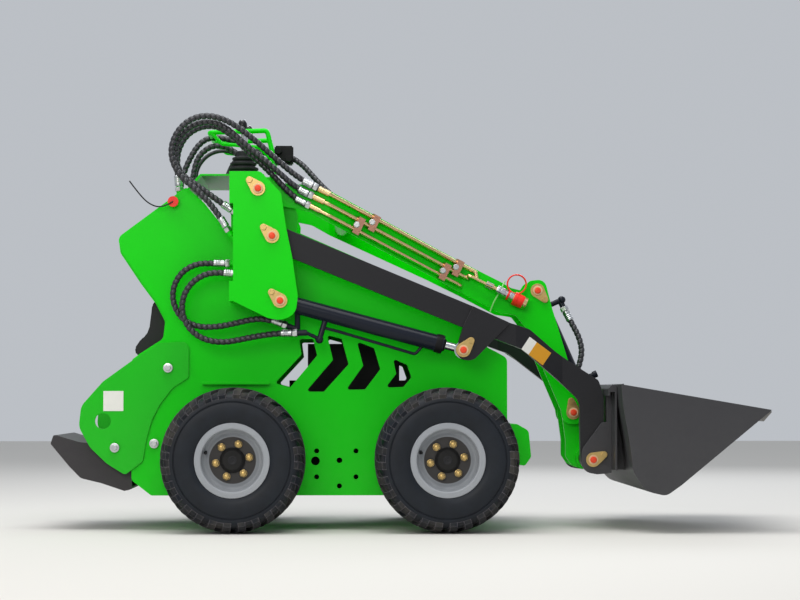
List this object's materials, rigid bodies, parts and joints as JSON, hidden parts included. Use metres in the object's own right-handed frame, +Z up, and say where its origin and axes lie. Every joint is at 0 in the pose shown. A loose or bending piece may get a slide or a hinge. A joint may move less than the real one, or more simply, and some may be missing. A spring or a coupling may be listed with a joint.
{
  "type": "compact skid steer loader",
  "caption": "Green compact stand-on skid steer loader with four wheels, twin lift arms, parallel boom and a curled charcoal bucket.",
  "frame": {"origin": "middle of the machine on the ground", "axes": "+X forward to the bucket, +Y to the machine's left, +Z up"},
  "size_m": [2.275, 1.044, 1.3426],
  "materials": {
    "green_paint": "gloss",
    "dark_paint": "satin",
    "grey_paint": "satin",
    "charcoal_paint": "satin",
    "cylinder_paint": "gloss",
    "silver_paint": "satin",
    "cast_black": "satin",
    "zinc": "satin",
    "chrome": "polished",
    "tyre": "matt",
    "black_rubber": "matt",
    "black_plastic": "gloss",
    "red_plastic": "gloss"
  },
  "bodies": {
    "chassis": {"chassis_tub": "green_paint", "console": "green_paint", "hood": "green_paint", "engine": "cast_black", "rear_step": "grey_paint", "hand_rail": "green_paint", "control_boot": "black_rubber", "control_levers": "black_plastic", "stop_switch": "red_plastic", "side_plate_right": "green_paint", "tower_right": "green_paint", "side_plate_left": "green_paint", "tower_left": "green_paint", "rear_guards": "green_paint", "tower_pins": "zinc", "wheel_motors": "cast_black", "upper_hose_1": "black_rubber", "upper_hose_2": "black_rubber", "upper_hose_3": "black_rubber", "valve_hose": "black_rubber", "lower_hose_1_right": "black_rubber", "lower_hose_2_right": "black_rubber", "lower_hose_1_left": "black_rubber", "lower_hose_2_left": "black_rubber"},
    "wheel_rear_right": {"tyre_rear_right": "tyre", "rim_rear_right": "silver_paint", "hub_rear_right": "cast_black"},
    "wheel_front_right": {"tyre_front_right": "tyre", "rim_front_right": "silver_paint", "hub_front_right": "cast_black"},
    "wheel_rear_left": {"tyre_rear_left": "tyre", "rim_rear_left": "silver_paint", "hub_rear_left": "cast_black"},
    "wheel_front_left": {"tyre_front_left": "tyre", "rim_front_left": "silver_paint", "hub_front_left": "cast_black"},
    "lift_arms": {"lift_arm_right": "dark_paint", "lift_arm_left": "dark_paint", "arm_pins": "zinc", "arm_cross_tube": "dark_paint"},
    "boom": {"boom_plate_right": "green_paint", "boom_plate_left": "green_paint", "boom_cross_members": "green_paint", "boom_pins": "zinc", "boom_pipes": "zinc", "pipe_clamps": "green_paint", "tilt_hose": "black_rubber"},
    "front_link": {"front_link": "green_paint"},
    "hitch_bushes": {"hitch_bushes": "zinc"},
    "tilt_bush": {"tilt_bush": "zinc"},
    "bucket": {"hitch": "charcoal_paint", "bucket_mount": "charcoal_paint", "bucket": "charcoal_paint", "cutting_edge": "charcoal_paint"},
    "lift_barrel_right": {"lift_barrel_right": "cylinder_paint"},
    "lift_rod_right": {"lift_rod_right": "chrome"},
    "lift_barrel_left": {"lift_barrel_left": "cylinder_paint"},
    "lift_rod_left": {"lift_rod_left": "chrome"},
    "tilt_barrel": {"tilt_barrel": "cylinder_paint"},
    "tilt_rod": {"tilt_rod": "chrome"}
  },
  "joints": [
    {"name": "roll_rear_right", "type": "hinge", "parent": "chassis", "child": "wheel_rear_right", "pos_m": [-0.546, -0.414, 0.2285], "axis": [0, 1, 0], "continuous": true},
    {"name": "roll_front_right", "type": "hinge", "parent": "chassis", "child": "wheel_front_right", "pos_m": [0.126, -0.414, 0.2285], "axis": [0, 1, 0], "continuous": true},
    {"name": "roll_rear_left", "type": "hinge", "parent": "chassis", "child": "wheel_rear_left", "pos_m": [-0.546, 0.414, 0.2285], "axis": [0, 1, 0], "continuous": true},
    {"name": "roll_front_left", "type": "hinge", "parent": "chassis", "child": "wheel_front_left", "pos_m": [0.126, 0.414, 0.2285], "axis": [0, 1, 0], "continuous": true},
    {"name": "lift_raise", "type": "hinge", "parent": "chassis", "child": "lift_arms", "pos_m": [-0.426, 0, 0.935], "axis": [0, -1, 0], "range_deg": [0, 80]},
    {"name": "boom_raise", "type": "hinge", "parent": "chassis", "child": "boom", "pos_m": [-0.4705, 0, 1.085], "axis": [0, -1, 0], "range_deg": [0, 80], "deforming": ["upper_hose_1", "upper_hose_2", "upper_hose_3"]},
    {"name": "link_turn", "type": "hinge", "parent": "lift_arms", "child": "front_link", "pos_m": [0.6015, 0, 0.225], "axis": [0, -1, 0], "range_deg": [-80, 0]},
    {"name": "hitch_level", "type": "hinge", "parent": "lift_arms", "child": "hitch_bushes", "pos_m": [0.6015, 0, 0.225], "axis": [0, -1, 0], "range_deg": [-61, 0]},
    {"name": "bucket_tilt", "type": "hinge", "parent": "hitch_bushes", "child": "bucket", "pos_m": [0.6015, 0, 0.225], "axis": [0, 1, 0], "range_deg": [0, 85]},
    {"name": "tilt_cylinder_level", "type": "hinge", "parent": "boom", "child": "tilt_bush", "pos_m": [0.44, 0, 0.776], "axis": [0, -1, 0], "range_deg": [-5.2, 0]},
    {"name": "tilt_cylinder_swing", "type": "hinge", "parent": "tilt_bush", "child": "tilt_barrel", "pos_m": [0.44, 0, 0.776], "axis": [0, -1, 0], "range_deg": [0, 12.75], "deforming": ["tilt_hose"]},
    {"name": "tilt_rod_slide", "type": "slide", "parent": "tilt_barrel", "child": "tilt_rod", "axis": [0.403, 0, -0.9152], "range_m": [0, 0.2227]},
    {"name": "lift_cylinder_swing_right", "type": "hinge", "parent": "chassis", "child": "lift_barrel_right", "pos_m": [-0.4, -0.365, 0.73], "axis": [0, -1, 0], "range_deg": [0, 76.2], "deforming": ["lower_hose_1_right", "lower_hose_2_right"]},
    {"name": "lift_rod_slide_right", "type": "slide", "parent": "lift_barrel_right", "child": "lift_rod_right", "axis": [0.9661, 0, -0.2582], "range_m": [0, 0.27]},
    {"name": "lift_cylinder_swing_left", "type": "hinge", "parent": "chassis", "child": "lift_barrel_left", "pos_m": [-0.4, 0.365, 0.73], "axis": [0, -1, 0], "range_deg": [0, 76.2], "deforming": ["lower_hose_1_left", "lower_hose_2_left"]},
    {"name": "lift_rod_slide_left", "type": "slide", "parent": "lift_barrel_left", "child": "lift_rod_left", "axis": [0.9661, 0, -0.2582], "range_m": [0, 0.27]}
  ],
  "couplings": [
    {"joint": "boom_raise", "follows": "lift_raise", "ratio": 1},
    {"joint": "link_turn", "follows": "lift_raise", "ratio": -1},
    {"joint": "hitch_level", "follows": "lift_raise", "ratio": -0.7625},
    {"joint": "tilt_cylinder_level", "follows": "lift_raise", "ratio": -0.065},
    {"joint": "tilt_cylinder_swing", "follows": "bucket_tilt", "ratio": 0.15},
    {"joint": "tilt_rod_slide", "follows": "bucket_tilt", "m_per_rad": 0.15},
    {"joint": "lift_cylinder_swing_right", "follows": "lift_raise", "ratio": 0.952},
    {"joint": "lift_rod_slide_right", "follows": "lift_raise", "m_per_rad": 0.1932},
    {"joint": "lift_cylinder_swing_left", "follows": "lift_raise", "ratio": 0.952},
    {"joint": "lift_rod_slide_left", "follows": "lift_raise", "m_per_rad": 0.1932}
  ]
}
